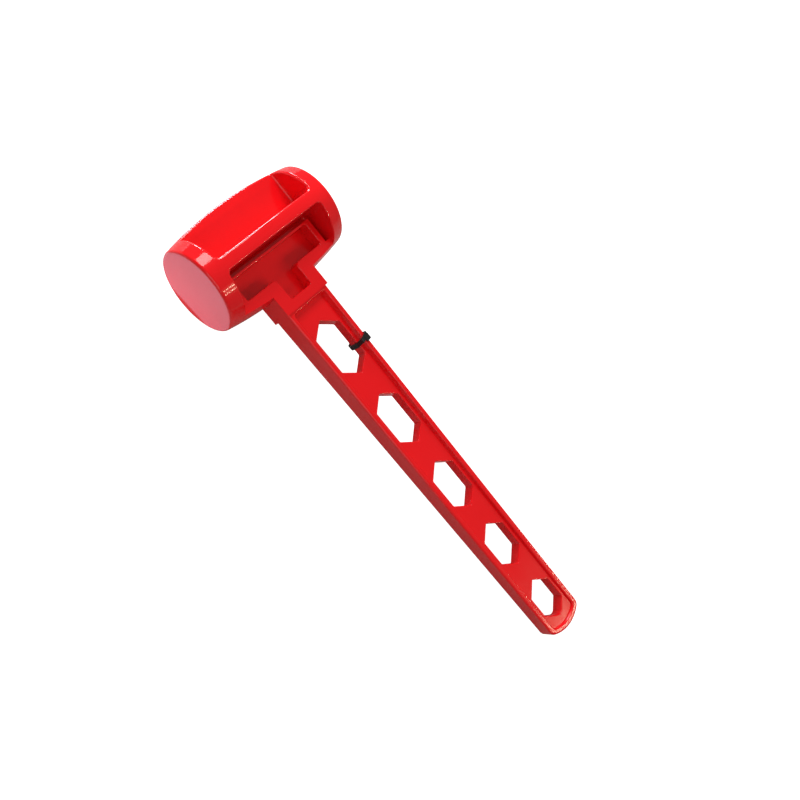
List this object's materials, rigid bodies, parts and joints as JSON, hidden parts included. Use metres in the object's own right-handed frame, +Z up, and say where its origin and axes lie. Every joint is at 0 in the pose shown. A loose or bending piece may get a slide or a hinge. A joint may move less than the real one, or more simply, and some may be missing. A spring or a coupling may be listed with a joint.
{
  "type": "tent peg mallet",
  "caption": "Plastic tent-peg mallet: cored barrel head moulded round the T-shaped tang of a flat handle with hexagonal windows, and a cable tie on one rail.",
  "frame": {"origin": "on the surface the mallet lies on, under the middle of its box: halfway along its length and on its centre line", "axes": "+X along the strike axis, +Y from the head towards the end of the handle, +Z up out of the front face; the mallet lies on its back, resting on the rear rail of its head and on the end of its handle"},
  "size_m": [0.085, 0.3042, 0.0566],
  "materials": {
    "head_plastic": "glossy moulded",
    "handle_plastic": "glossy moulded",
    "tie_nylon": "satin nylon"
  },
  "bodies": {
    "mallet": {"head": "head_plastic", "handle": "handle_plastic"},
    "tie": {"cable_tie": "tie_nylon"}
  },
  "joints": [
    {"name": "tie_slide", "type": "slide", "parent": "mallet", "child": "tie", "axis": [0, -0.9965, 0.0834], "range_m": [-0.003, 0.009]}
  ]
}
